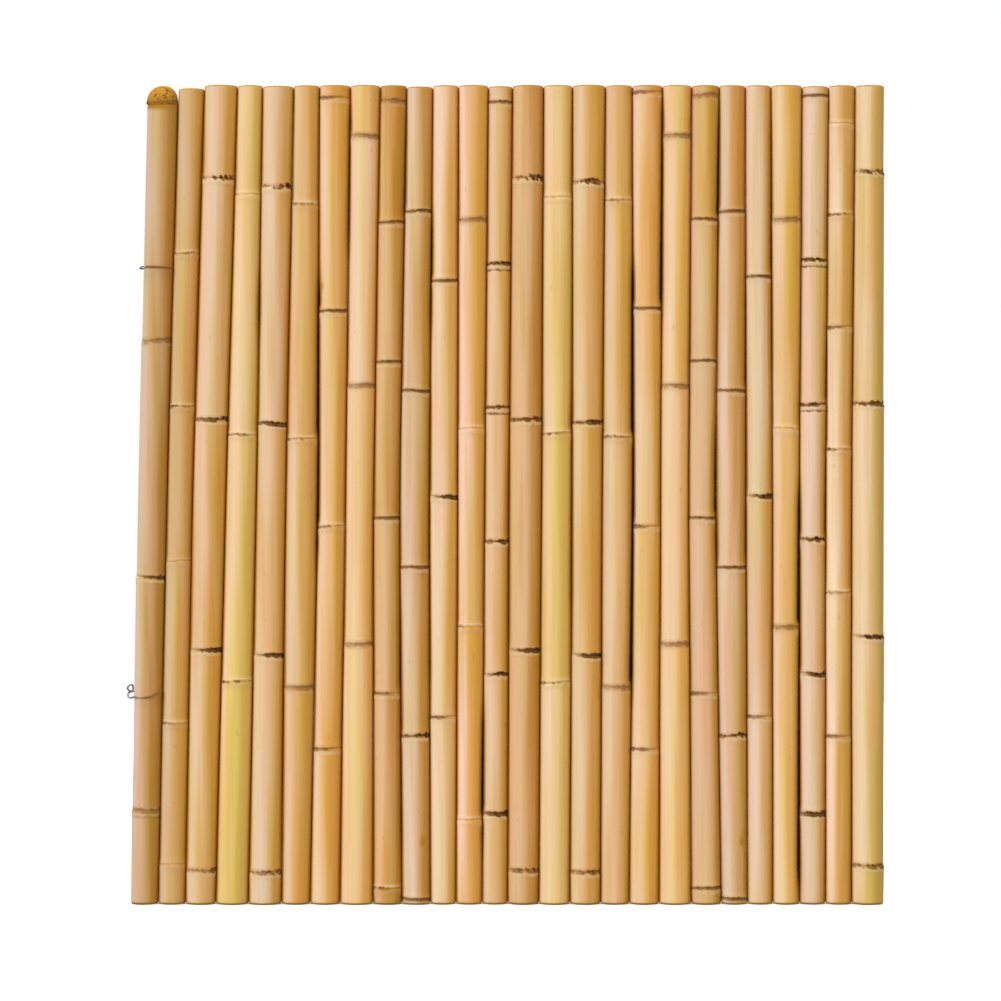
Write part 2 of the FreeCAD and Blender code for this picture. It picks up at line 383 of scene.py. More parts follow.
def dried_bamboo_rind(tint):
    """Bamboo, dried: a hard waxy rind over lengthwise fibres, with the scars of its leaf sheaths left on.

    The eye sees a satin sheen, long streaks from pale to brown with a hint of rose and olive, fine fibres,
    and at each node a broken dark line, partly painted shadow, over a pale ledge with a painted highlight.
    """
    pale_lit, middle, golden = (linear(code) for code in TINTS[tint])
    material, tree, place = new_material("dried_bamboo_rind_" + tint)
    scar = add(tree, "Attribute", attribute_name="scar_mm")["Fac"]
    crease = add(tree, "Attribute", attribute_name="crease_mm")["Fac"]
    tone = add(tree, "Attribute", attribute_name="tone")["Fac"]
    marks = add(tree, "Attribute", attribute_name="node_marks")
    second_scar = marks["Alpha"]
    marks = add(tree, "SeparateColor", {"Color": marks["Color"]})
    wear = add(tree, "Attribute", attribute_name="node_wear")
    scar_width = wear["Alpha"]
    wear = add(tree, "SeparateColor", {"Color": wear["Color"]})

    # Long clouds over the culm's tone, with painted light, pale on the lit side, and painted shade, golden
    # on the shaded side and where its neighbours shade it
    clouds = add(tree, "Mapping", {"Vector": place, "Scale": per_mm(12, 12, 250)})[0]
    clouds = add(tree, "TexNoise", {"Vector": clouds, "Scale": 1.0, "Detail": 1.5})[0]
    clouds = add(tree, "Math", {0: clouds, 1: 0.95, 2: -0.475}, operation="MULTIPLY_ADD")[0]
    tone = add(tree, "Math", {0: tone, 1: clouds}, operation="ADD")[0]
    painted_crevice_shade = add(
        tree,
        "MapRange",
        {"Value": crease, 1: -2.8, 2: 0.3, 3: 0.0, 4: 0.5},
        interpolation_type="SMOOTHSTEP",
    )[0]
    tone = add(tree, "Math", {0: tone, 1: painted_crevice_shade}, operation="SUBTRACT")[0]
    colour = add(
        tree, "ValToRGB", {"Fac": tone}, stops=[(0.18, golden), (0.5, middle), (0.82, pale_lit)]
    )[0]

    # Streaks of rose and olive along the culm
    streaks = add(tree, "Mapping", {"Vector": place, "Scale": per_mm(10, 10, 250)})[0]
    streaks = add(tree, "TexNoise", {"Vector": streaks, "Scale": 1.0, "Detail": 1.0})[0]
    hue = add(
        tree,
        "ValToRGB",
        {"Fac": streaks},
        stops=[
            (0.32, (0.45, 0.53, 0.35, 1)),
            (0.47, (0.50, 0.50, 0.48, 1)),
            (0.54, (0.50, 0.50, 0.52, 1)),
            (0.68, (0.61, 0.47, 0.50, 1)),
        ],
    )[0]
    colour = add(tree, "Mix", {0: 1.0, 6: colour, 7: hue}, data_type="RGBA", blend_type="SOFT_LIGHT")[2]

    # Fibres are a third of a millimetre across, drawn 2 mm wide so that they show
    fibres = add(tree, "Mapping", {"Vector": place, "Scale": per_mm(2.0, 2.0, 140)})[0]
    fibres = add(tree, "TexNoise", {"Vector": fibres, "Scale": 1.0, "Detail": 3.0})[0]
    shade = add(
        tree,
        "ValToRGB",
        {"Fac": fibres},
        stops=[(0.30, (0.84, 0.82, 0.80, 1)), (0.52, (1.0, 1.0, 1.0, 1)), (0.75, (1.05, 1.05, 1.04, 1))],
    )[0]
    colour = add(tree, "Mix", {0: 0.28, 6: colour, 7: shade}, data_type="RGBA", blend_type="MULTIPLY")[2]

    # A few small brown flecks in the rind
    flecks = add(tree, "Mapping", {"Vector": place, "Scale": per_mm(4, 4, 11)})[0]
    flecks = add(tree, "TexNoise", {"Vector": flecks, "Scale": 1.0, "Detail": 2.0})[0]
    flecked = add(tree, "MapRange", {"Value": flecks, 1: 0.70, 2: 0.82, 3: 0.0, 4: 0.35})[0]
    colour = add(tree, "Mix", {0: flecked, 6: colour, 7: linear(FLECK)}, data_type="RGBA")[2]

    # The scar wanders about its line, more on ragged nodes
    ragged = add(tree, "Mapping", {"Vector": place, "Scale": per_mm(4.2, 4.2, 7)})[0]
    ragged = add(tree, "TexNoise", {"Vector": ragged, "Scale": 1.0, "Detail": 3.0})[0]
    wander = add(tree, "Math", {0: ragged, 1: 4.0, 2: -2.0}, operation="MULTIPLY_ADD")[0]
    wander = add(tree, "Math", {0: wander, 1: wear["Blue"]}, operation="MULTIPLY")[0]
    line = add(tree, "Math", {0: scar, 1: wander}, operation="ADD")[0]
    away = add(tree, "Math", {0: line}, operation="ABSOLUTE")[0]

    # Brown stain round the scar
    stain = add(tree, "MapRange", {"Value": away, 1: 0.5, 2: 6.5, 3: 1.5, 4: 0.0})[0]
    stain = add(tree, "Math", {0: stain, 1: wear["Green"]}, operation="MULTIPLY")[0]
    stain = add(tree, "Math", {0: stain, 1: ragged}, operation="MULTIPLY")[0]
    colour = add(tree, "Mix", {0: stain, 6: colour, 7: linear(STAIN)}, data_type="RGBA")[2]

    # The pale bands below and above the scar: painted highlights on the ledge and the flare
    bands = []
    for start, offset, fade, strength, mark in (
        (line, BAND_BELOW_MM, 3.0, 0.85, "Green"),
        (scar, -BAND_ABOVE_MM, 2.5, 0.80, "Blue"),
    ):
        band = add(tree, "Math", {0: start, 1: offset}, operation="ADD")[0]
        band = add(tree, "Math", {0: band}, operation="ABSOLUTE")[0]
        band = add(tree, "MapRange", {"Value": band, 1: 0.4, 2: fade, 3: strength, 4: 0.0})[0]
        bands.append(add(tree, "Math", {0: band, 1: marks[mark]}, operation="MULTIPLY")[0])
    pale = add(tree, "Math", {0: bands[0], 1: bands[1]}, operation="ADD")[0]
    patchy = add(tree, "MapRange", {"Value": ragged, 1: 0.36, 2: 0.66, 3: 0.35, 4: 1.0})[0]
    pale = add(tree, "Math", {0: pale, 1: patchy}, operation="MULTIPLY")[0]
    colour = add(tree, "Mix", {0: pale, 6: colour, 7: linear(PAINTED_BAND_HIGHLIGHT)}, data_type="RGBA")[2]

    # Brown: painted shade in the crevices between culms, grime in the bud scars and on the knob, and
    # darkening by the saw cuts
    shade_and_grime = add(tree, "Math", {0: ragged, 1: 0.8, 2: crease}, operation="MULTIPLY_ADD")[0]
    brown = add(
        tree,
        "MapRange",
        {"Value": shade_and_grime, 1: -1.6, 2: 1.5, 3: 0.0, 4: 0.96},
        interpolation_type="SMOOTHSTEP",
    )[0]
    colour = add(tree, "Mix", {0: brown, 6: colour, 7: linear(GRIME_AND_SHADE)}, data_type="RGBA")[2]

    # The dark scar, its own dark marks with painted shadow along its groove, broken into slanted strokes on
    # some culms
    slanted = {"Vector": place, "Axis": (0, 1, 0), "Angle": math.radians(STROKE_SLANT_DEG)}
    slanted = add(tree, "VectorRotate", slanted)[0]
    gaps = add(tree, "Mapping", {"Vector": slanted, "Scale": per_mm(4.6, 6, 15)})[0]
    gaps = add(tree, "TexNoise", {"Vector": gaps, "Scale": 1.0, "Detail": 1.0})[0]
    gaps = add(tree, "MapRange", {"Value": gaps, 1: 0.40, 2: 0.56, 3: 0.0, 4: 1.0})[0]
    whole = add(tree, "Mix", {0: wear["Red"], 2: 1.0, 3: gaps}, data_type="FLOAT")[0]
    reach = add(tree, "Math", {0: scar_width, 1: whole}, operation="MULTIPLY")[0]
    ink = add(tree, "Math", {0: reach, 1: away}, operation="SUBTRACT")[0]
    ink = add(tree, "MapRange", {"Value": ink, 1: -1.0, 2: 0.8, 3: 0.0, 4: 1.0})[0]
    depth = add(tree, "MapRange", {"Value": ragged, 1: 0.36, 2: 0.58, 3: 1.0, 4: 0.5})[0]
    depth = add(tree, "Mix", {0: wear["Red"], 2: 1.0, 3: depth}, data_type="FLOAT")[0]
    ink = add(tree, "Math", {0: ink, 1: depth}, operation="MULTIPLY")[0]
    ink = add(tree, "Math", {0: ink, 1: marks["Red"]}, operation="MULTIPLY")[0]
    second = add(tree, "Math", {0: line, 1: SECOND_SCAR_MM}, operation="ADD")[0]
    second = add(tree, "Math", {0: second}, operation="ABSOLUTE")[0]
    second = add(tree, "Math", {0: gaps, 1: second}, operation="SUBTRACT")[0]
    second = add(tree, "MapRange", {"Value": second, 1: -1.4, 2: 0.7, 3: 0.0, 4: 0.85})[0]
    second = add(tree, "Math", {0: second, 1: second_scar}, operation="MULTIPLY")[0]
    ink = add(tree, "Math", {0: ink, 1: second}, operation="MAXIMUM")[0]
    thin = add(tree, "MapRange", {"Value": ink, 1: 0.0, 2: 0.6, 3: 0.0, 4: 0.92})[0]
    colour = add(tree, "Mix", {0: thin, 6: colour, 7: linear(SCAR_EDGE)}, data_type="RGBA")[2]
    thick = add(tree, "Math", {0: ink, 1: 1.7}, operation="POWER")[0]
    colour = add(tree, "Mix", {0: thick, 6: colour, 7: linear(SCAR_INK)}, data_type="RGBA")[2]

    # The dark core of the painted shade in the wide crevices, and of the grime and darkening where they are
    # strongest
    core = add(
        tree,
        "MapRange",
        {"Value": shade_and_grime, 1: 1.05, 2: 2.4, 3: 0.0, 4: 0.97},
        interpolation_type="SMOOTHSTEP",
    )[0]
    colour = add(tree, "Mix", {0: core, 6: colour, 7: linear(GRIME_AND_SHADE_CORE)}, data_type="RGBA")[2]

    # A satin sheen, duller on the scars, in the grime and in the painted shade
    rough = add(tree, "MapRange", {"Value": streaks, 1: 0.3, 2: 0.7, 3: 0.40, 4: 0.54})[0]
    rough = add(tree, "Math", {0: ink, 1: 0.3, 2: rough}, operation="MULTIPLY_ADD")[0]
    rough = add(tree, "Math", {0: brown, 1: 0.6, 2: rough}, operation="MULTIPLY_ADD")[0]
    grain = add(tree, "Bump", {"Height": fibres, "Strength": 0.25, "Distance": 0.12 * MM})[0]
    shader = add(
        tree,
        "BsdfPrincipled",
        {
            "Base Color": colour,
            "Roughness": rough,
            "Normal": grain,
            "IOR": 1.5,
            "Specular IOR Level": 0.10,
            "Specular Tint": linear("#ffe2b4"),
        },
    )[0]
    add(tree, "OutputMaterial", {"Surface": shader})
    return material


def sawn_bamboo_end():
    """Bamboo, sawn across: a straw-coloured wall with the dark dots of fibre bundles and fine saw marks."""
    material, tree, place = new_material("sawn_bamboo_end")
    bundles = add(tree, "Mapping", {"Vector": place, "Scale": per_mm(1.1, 1.1, 6)})[0]
    bundles = add(tree, "TexVoronoi", {"Vector": bundles, "Scale": 1.0})["Distance"]
    dots = add(
        tree,
        "ValToRGB",
        {"Fac": bundles},
        stops=[(0.16, linear("#7c5a2e")), (0.36, linear("#cfae74")), (0.8, linear("#e2c894"))],
    )[0]
    marks = add(tree, "Mapping", {"Vector": place, "Scale": per_mm(40, 0.8, 40)})[0]
    marks = add(tree, "TexNoise", {"Vector": marks, "Scale": 1.0, "Detail": 2.0})[0]
    rough = add(tree, "MapRange", {"Value": marks, 1: 0.3, 2: 0.7, 3: 0.6, 4: 0.85})[0]
    cut = add(tree, "Bump", {"Height": marks, "Strength": 0.4, "Distance": 0.2 * MM})[0]
    shader = add(
        tree, "BsdfPrincipled", {"Base Color": dots, "Roughness": rough, "Normal": cut, "IOR": 1.5}
    )[0]
    add(tree, "OutputMaterial", {"Surface": shader})
    return material


def bamboo_pith_lining():
    """Bamboo, the inside of the culm: dry papery lining, pale and dull, browner along its streaks."""
    material, tree, place = new_material("bamboo_pith_lining")
    streaks = add(tree, "Mapping", {"Vector": place, "Scale": per_mm(3, 3, 60)})[0]
    streaks = add(tree, "TexNoise", {"Vector": streaks, "Scale": 1.0, "Detail": 3.0})[0]
    colour = add(
        tree,
        "ValToRGB",
        {"Fac": streaks},
        stops=[(0.3, linear("#b08c58")), (0.55, linear("#dcc498")), (0.75, linear("#ecdab4"))],
    )[0]
    rough = add(tree, "MapRange", {"Value": streaks, 1: 0.3, 2: 0.7, 3: 0.9, 4: 0.7})[0]
    paper = add(tree, "Bump", {"Height": streaks, "Strength": 0.3, "Distance": 0.3 * MM})[0]
    shader = add(
        tree, "BsdfPrincipled", {"Base Color": colour, "Roughness": rough, "Normal": paper, "IOR": 1.5}
    )[0]
    add(tree, "OutputMaterial", {"Surface": shader})
    return material


def galvanised_steel_wire():
    """Steel wire, drawn and hot-dip galvanised.

    The eye sees dull grey zinc, paler where the wire meets the pole, and brown past it.
    """
    material, tree, place = new_material("galvanised_steel_wire")
    tarnish = add(tree, "Attribute", attribute_name="tarnish")["Fac"]
    zinc = add(tree, "Mapping", {"Vector": place, "Scale": per_mm(1.5, 1.5, 1.5)})[0]
    zinc = add(tree, "TexNoise", {"Vector": zinc, "Scale": 1.0, "Detail": 3.0})[0]
    bright = add(
        tree,
        "ValToRGB",
        {"Fac": zinc},
        stops=[(0.3, linear("#666562")), (0.6, linear("#989793")), (0.8, linear("#c0bfba"))],
    )[0]
    pale_share = add(tree, "MapRange", {"Value": tarnish, 1: 0.0, 2: 0.4, 3: 0.0, 4: 1.0})[0]
    brown = add(tree, "MapRange", {"Value": tarnish, 1: 0.4, 2: 1.0, 3: 0.0, 4: 1.0})[0]
    colour = add(tree, "Mix", {0: pale_share, 6: bright, 7: linear("#c4a284")}, data_type="RGBA")[2]
    colour = add(tree, "Mix", {0: brown, 6: colour, 7: linear("#8c5c20")}, data_type="RGBA")[2]
    metal = add(tree, "MapRange", {"Value": pale_share, 1: 0.0, 2: 1.0, 3: 1.0, 4: 0.1})[0]
    rough = add(tree, "MapRange", {"Value": zinc, 1: 0.3, 2: 0.7, 3: 0.5, 4: 0.3})[0]
    rough = add(tree, "Math", {0: pale_share, 1: 0.3, 2: rough}, operation="MULTIPLY_ADD")[0]
    grit = add(tree, "Bump", {"Height": zinc, "Strength": 0.2, "Distance": 0.1 * MM})[0]
    shader = add(
        tree,
        "BsdfPrincipled",
        {"Base Color": colour, "Roughness": rough, "Normal": grit, "Metallic": metal},
    )[0]
    add(tree, "OutputMaterial", {"Surface": shader})
    return material


def painted_studio_floor():
    """Painted board: plain matt white."""
    material, tree, place = new_material("painted_studio_floor")
    paint = add(tree, "Mapping", {"Vector": place, "Scale": per_mm(60, 60, 60)})[0]
    paint = add(tree, "TexNoise", {"Vector": paint, "Scale": 1.0})[0]
    rough = add(tree, "MapRange", {"Value": paint, 1: 0.3, 2: 0.7, 3: 0.85, 4: 0.95})[0]
    shader = add(tree, "BsdfPrincipled", {"Base Color": linear("#f6f5f3"), "Roughness": rough})[0]
    add(tree, "OutputMaterial", {"Surface": shader})
    return material


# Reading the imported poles


Ring = namedtuple("Ring", "z x radius")


def packed_rings(name):
    """The level rings of a packed pole's skin, from the foot up."""
    levels = {}
    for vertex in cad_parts[name].data.vertices:
        x, y, z = (round(value, 5) for value in vertex.co)
        levels.setdefault(round(z, 4), set()).add((x, y))
    rings = []
    for z in sorted(levels):
        if len(levels[z]) >= POLE_FLATS:
            xs = [x for x, y in levels[z]]
            ys = [y for x, y in levels[z]]
            rings.append(Ring(z, (min(xs) + max(xs)) / 2, (max(ys) - min(ys)) / 2))
    return rings


def split_at_nodes(rings):
    """The rings of each stretch between nodes, from the foot up. A node is two close rings with a step."""
    stretches = [[rings[0]]]
    for below, above in zip(rings, rings[1:]):
        is_close = above.z - below.z < 1.5 * NODE_STEP_HEIGHT
        is_step = NODE_STEP / 2 < below.radius - above.radius < NODE_STEP * 1.5
        if is_close and is_step:
            stretches.append([])
        stretches[-1].append(above)
    return stretches


def straight_between(points, z):
    """The value at z on straight lines through (z, value) points, carried on past both ends."""
    for low, high in zip(points, points[1:]):
        if z < high[0]:
            break
    share = (z - low[0]) / (high[0] - low[0])
    return low[1] + (high[1] - low[1]) * share


class Culm:
    """The size and growth of one culm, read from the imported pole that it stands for."""

    def __init__(self, name):
        rings = packed_rings(name)
        stretches = split_at_nodes(rings)
        self.head = rings[-1].z
        self.domed = rings[-1].radius < rings[0].radius / 2
        self.nodes = [(a[-1].z + b[0].z) / 2 for a, b in zip(stretches, stretches[1:])]
        self.axis_points = []
        self.radius_points = []
        for stretch in stretches:
            low = stretch[0].z
            high = stretch[-1].z
            # Of the stretch that closes as a knob, only the lowest ring counts
            if self.domed and stretch is stretches[-1]:
                stretch = stretch[:1]
            for ring in stretch:
                lag = NODE_STEP * (high - ring.z) / (high - low)
                self.axis_points.append((ring.z, ring.x))
                self.radius_points.append((ring.z, ring.radius + lag))

    def smooth(self, points, z):
        """A value along the culm with its bow rounded off."""
        nearby = [straight_between(points, z + step * BOW_SMOOTHING) for step in (-2, -1, 0, 1, 2)]
        return sum(nearby) / len(nearby)

    def axis(self, z):
        return self.smooth(self.axis_points, z)

    def radius(self, z):
        return self.smooth(self.radius_points, z)

    def lag(self, z):
        """How far the skin at z stands inside the radius at the nodes."""
        starts = [0.0] + [node + NODE_STEP_HEIGHT / 2 for node in self.nodes]
        ends = [node - NODE_STEP_HEIGHT / 2 for node in self.nodes] + [self.head]
        for low, high in zip(starts, ends):
            if low <= z <= high:
                return NODE_STEP * (high - z) / (high - low)
        node = min(self.nodes, key=lambda node: abs(node - z))
        return NODE_STEP * (z - node + NODE_STEP_HEIGHT / 2) / NODE_STEP_HEIGHT


# Building the culms


def ease(value, start, end):
    """A smooth rise from 0 at start to 1 at end."""
    share = min(max((value - start) / (end - start), 0.0), 1.0)
    return share * share * (3 - 2 * share)


def hump(value, centre, width):
    """A smooth rise and fall about a centre."""
    return math.exp(-(((value - centre) / width) ** 2))


def node_relief(look, scar_mm):
    """How far a node stands out at a distance above its scar, both in mm."""
    relief = look.shoulder * hump(scar_mm, *SHOULDER_AT)
    relief += look.flare * hump(scar_mm, *FLARE_AT)
    relief -= look.groove * hump(scar_mm, *GROOVE_AT)
    relief -= look.second * SECOND_GROOVE_MM * hump(scar_mm, *SECOND_GROOVE_AT)
    return relief


def wire_height(node):
    """The height at which a wire runs through the row."""
    low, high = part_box(node)
    return (low.z + high.z) / 2


def wire_drill():
    """Two bars along the row, from left of the first culm to the ends of the wires, to cut holes with."""
    shape = bmesh.new()
    for wire in WIRES:
        low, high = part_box(wire)
        start = low.x - HOLE_OVERSHOOT
        end = high.x + HOLE_END_ROOM
        turned = Matrix.Rotation(math.radians(90), 4, "Y")
        place = Matrix.Translation(((start + end) / 2, 0, wire_height(wire))) @ turned
        bmesh.ops.create_cone(
            shape,
            cap_ends=True,
            segments=HOLE_SIDES,
            radius1=HOLE_RADIUS,
            radius2=HOLE_RADIUS,
            depth=end - start,
            matrix=place,
        )
    for face in shape.faces:
        face.material_index = SAWN
    mesh = bpy.data.meshes.new("wire_drill")
    shape.to_mesh(mesh)
    shape.free()
    return in_scene("wire_drill", mesh)


def culm_levels(culm, top, buds):
    """The heights of the rings of a culm's skin, close together by nodes, bud scars and wires."""
    holes = [wire_height(wire) for wire in WIRES]
    wanted = [node + step * MM for node in culm.nodes for step in LEVELS_BY_NODE]
    plain = [LEVEL_SPACING * step for step in range(1, int(top / LEVEL_SPACING))]
    wanted += [z for z in plain if min(abs(z - node) for node in culm.nodes) > NODE_ROOM]
    wanted += [(bud.height + step) * MM for bud in buds for step in LEVELS_BY_BUD]
    wanted += [hole + step * MM for hole in holes for step in LEVELS_BY_WIRE]
    wanted += [RIM_END, top - RIM_END]
    wanted = [z for z in wanted if min(abs(z - hole) for hole in holes) > RINGS_CLEAR_OF_HOLE]
    lowest = SAW_ROUNDING
    highest = top if culm.domed else top - SAW_ROUNDING
    inside = sorted(z for z in wanted if lowest + CLOSEST_LEVELS < z < highest - CLOSEST_LEVELS)
    levels = [lowest]
    for z in inside:
        if z - levels[-1] > CLOSEST_LEVELS:
            levels.append(z)
    return levels + [highest]


def level_ring(x, y, z, radius):
    """A level circle."""
    return [(x + radius * math.cos(turn), y + radius * math.sin(turn), z) for turn in TURNS]


def hollow_depths(depth):
    """The depths of the rings of a hollow's lining, from its mouth to its floor."""
    steps = max(2, int(depth / HOLLOW_SPACING))
    return [SAW_BEVEL + (depth - SAW_BEVEL) * step / steps for step in range(steps + 1)]


def crevice_width(number, z, side):
    """How much wider, in mm, the painted shade of the crevice on one side of a culm is at a height."""
    left_culm = number if side > 0 else number - 1
    wider = 0.0
    for culm, low, high, extra in DARK_CREVICES:
        if culm == left_culm:
            inside = ease(z / MM, low - CREVICE_FADE_MM, low + CREVICE_FADE_MM)
            inside -= ease(z / MM, high - CREVICE_FADE_MM, high + CREVICE_FADE_MM)
            wider = max(wider, extra * inside)
    return wider


# What a point of the skin carries of the nearest node, for the rind's shader
Growth = namedtuple("Growth", "scar_mm marks wear")
PLAIN = Growth(SCAR_LIMIT, (0.0, 0.0, 0.0, 0.0), (0.0, 0.0, 0.0, 0.0))


class CulmMesh:
    """A closed skin of rings, wound from the first centre point out to the last one."""

    def __init__(self):
        self.points = []
        self.faces = []
        self.finishes = []
        self.growths = []
        self.tones = []
        self.creases = []
        self.last = None

    def ring(self, points, finish, growths=None, tones=None, creases=None):
        """Add a ring, or a single centre point, and the faces that join it to the one before."""
        first = len(self.points)
        made = list(range(first, first + len(points)))
        self.points += points
        self.growths += growths or [PLAIN] * len(points)
        self.tones += tones or [PLAIN_TONE] * len(points)
        self.creases += creases or [NO_CREASE] * len(points)
        if self.last is not None:
            for column in range(CULM_COLUMNS):
                beside = (column + 1) % CULM_COLUMNS
                corners = [self.last[column % len(self.last)], self.last[beside % len(self.last)]]
                corners += [made[beside % len(made)], made[column % len(made)]]
                self.faces.append(list(dict.fromkeys(corners)))
                self.finishes.append(finish)
        self.last = made

    def piece(self, name, materials, drill):
        """The finished object, with the wire holes drilled."""
        mesh = bpy.data.meshes.new(name)
        mesh.from_pydata(self.points, [], self.faces)
        for material in materials:
            mesh.materials.append(material)
        mesh.polygons.foreach_set("material_index", self.finishes)
        scars = [growth.scar_mm for growth in self.growths]
        for title, values in (("scar_mm", scars), ("tone", self.tones), ("crease_mm", self.creases)):
            mesh.attributes.new(title, "FLOAT", "POINT").data.foreach_set("value", values)
        for title, field in (("node_marks", "marks"), ("node_wear", "wear")):
            flat = [channel for growth in self.growths for channel in getattr(growth, field)]
            mesh.attributes.new(title, "FLOAT_COLOR", "POINT").data.foreach_set("color", flat)
        shape = bmesh.new()
        shape.from_mesh(mesh)
        bmesh.ops.recalc_face_normals(shape, faces=shape.faces)
        shape.to_mesh(mesh)
        shape.free()
        made = in_scene(name, mesh)
        holes = made.modifiers.new("wire_holes", "BOOLEAN")
        holes.operation = "DIFFERENCE"
        holes.solver = "EXACT"
        holes.object = drill
        evaluated = made.evaluated_get(bpy.context.evaluated_depsgraph_get())
        made.data = bpy.data.meshes.new_from_object(evaluated)
        made.modifiers.clear()
        bpy.data.meshes.remove(mesh)
        made.data.name = name
        made.data.shade_smooth()
        made.data.set_sharp_from_angle(angle=math.radians(SHARP_EDGE_DEG))
        return made


class CulmBuilder:
    """Builds one culm from the foot up: hollow sawn ends, and skin with nodes, tones, grime, and painted
    light and shade.
    """

    def __init__(self, index, culm):
        draw = random.Random(index + 1)
        self.number = index + 1
        self.culm = culm
        self.draw = draw
        self.looks = [NODE_LOOKS[kind] for kind in CULMS[index][1].split()]
        self.drift = [draw.uniform(-DRIFT_MM, DRIFT_MM) * MM for _ in DRIFT_TURNS]
        self.phase = draw.uniform(0, 2 * math.pi)
        spread = draw.uniform(-PAINTED_LIT_SIDE_SPREAD_DEG, PAINTED_LIT_SIDE_SPREAD_DEG)
        self.painted_lit_side = math.radians(PAINTED_LIT_SIDE_DEG + spread)
        self.shifts = [draw.uniform(-TONE_SPREAD, TONE_SPREAD) for _ in range(len(culm.nodes) + 1)]
        self.waves = [[draw.uniform(-1, 1) for _ in range(4)] for _ in culm.nodes]
        self.facing = math.atan2(CAMERA_X - culm.axis(culm.head / 2), CAMERA_DISTANCE)
        self.buds = [bud for bud in BUD_SCARS if bud.culm == self.number]
        self.top = culm.nodes[-1] + NODE_STEP_HEIGHT / 2 if culm.domed else culm.head
        self.shell = CulmMesh()

    def axis_y(self, z):
        """How far back the culm's axis has drifted at a height."""
        slow = self.drift[0] * math.sin(DRIFT_TURNS[0] * z + self.phase)
        fast = self.drift[1] * math.sin(DRIFT_TURNS[1] * z + 2 * self.phase)
        return slow + fast

    def hollow_radius(self, z):
        return self.culm.radius(z) - NODE_STEP - POLE_WALL

    def centre_point(self, z):
        return [(self.culm.axis(z), self.axis_y(z), z)]

    def end_ring(self, z, radius, finish):
        self.shell.ring(level_ring(self.culm.axis(z), self.axis_y(z), z, radius), finish)

    def nearest_node(self, z):
        """The look of the nearest node, how it wanders, and the distance above its scar in mm."""
        nodes = self.culm.nodes
        nearest = min(range(len(nodes)), key=lambda n: abs(nodes[n] - z))
        scar = nodes[nearest]
        if self.culm.domed and nearest == len(nodes) - 1:
            scar += KNOB_SCAR_RISE
        return self.looks[nearest], self.waves[nearest], (z - scar) / MM

    def met(self, turn):
        """How far to the right a bearing lies, -1 to 1, met from the middle of the row's front or back."""
        return math.cos(turn - self.facing if math.sin(turn) < 0 else turn + self.facing)

    def is_open(self, side):
        """Whether the culm has no neighbour on its left, a side below 0, or else on its right."""
        return self.number == (1 if side < 0 else len(CULMS))

    def growths_at(self, z):
        """The marks that the nearest node leaves round a level."""
        look, _, scar_mm = self.nearest_node(z)
        strength = 1 - ease(abs(scar_mm), MARKS_FULL, MARKS_GONE)
        limited = max(-SCAR_LIMIT, min(SCAR_LIMIT, scar_mm))
        growths = []
        for turn in TURNS:
            lean = look.lean * self.met(turn)
            ink = look.ink * min(max(1 + LEAN_OF_INK * lean, 0.0), 1.0)
            width = look.width * (1 + LEAN_OF_WIDTH * lean)
            marks = tuple(mark * strength for mark in (ink, look.below, look.above, look.second))
            wear = (look.broken, look.stain * strength, look.ragged / 2, width)
            growths.append(Growth(limited, marks, wear))
        return growths

    def tones_at(self, z, browning=0.0):
        """The skin's tone round a level, with painted light: golden on the shaded right, pale on the lit
        left.
        """
        shift = self.shifts[sum(1 for node in self.culm.nodes if node < z)]
        end = min(z, self.culm.head - z) / MM
        shift -= browning + RIM_BROWNING * hump(end, 0.0, RIM_BROWNING_MM)
        for number, low, high, paler in STRETCHES:
            if number == self.number and low < z / MM <= high:
                shift += paler
        # Painted light: pale towards the lit side, golden on the side away from it
        painted_lit_at = self.facing + self.painted_lit_side
        return [TONE_MEAN + PAINTED_LIGHT_SWING * math.cos(turn - painted_lit_at) + shift for turn in TURNS]

    def crevice_widths(self, z):
        """How wide, in mm, the painted shade of the crevices on the left and the right is at a height."""
        scar_mm = self.nearest_node(z)[2]
        waist = CREVICE_WIDTH + WAIST_WIDENING * self.culm.lag(z) / NODE_STEP
        shut = 1 - NODE_SHUTS * hump(scar_mm, *NODE_SHUTS_AT)
        return {side: (waist + crevice_width(self.number, z, side)) * shut for side in (-1, 1)}

    def creases_at(self, z, level):
        """How deep round a level: painted shade in crevices, grime in bud scars and on the ledge, darkening
        by saw cuts.
        """
        radius = self.culm.radius(z) / MM
        widths = self.crevice_widths(z)
        end = min(level, self.culm.head - level) / MM
        everywhere = max(NO_CREASE, RIM_DARKENING - end * RIM_FADE_PER_MM)
        if self.culm.domed:
            everywhere = max(everywhere, LEDGE_GRIME - (self.top - level) / MM * LEDGE_FADE_PER_MM)
        creases = []
        for turn in TURNS:
            side = 1 if math.cos(turn) > 0 else -1
            crease = everywhere
            # Painted shade in the crevice by a neighbour, reaching further out on the right
            if not self.is_open(side):
                inwards = (1 - abs(self.met(turn))) * radius / PAINTED_SHADE_REACH[side]
                crease = max(crease, widths[side] - inwards)
            for bud in self.buds:
                across = (turn - math.radians(bud.bearing - 90)) % (2 * math.pi)
                across = min(across, 2 * math.pi - across) * radius
                along = (z / MM - bud.height) * BUD_SLIMNESS
                crease = max(crease, (bud.radius - math.hypot(across, along)) * BUD_GRIME)
            creases.append(crease)
        return creases

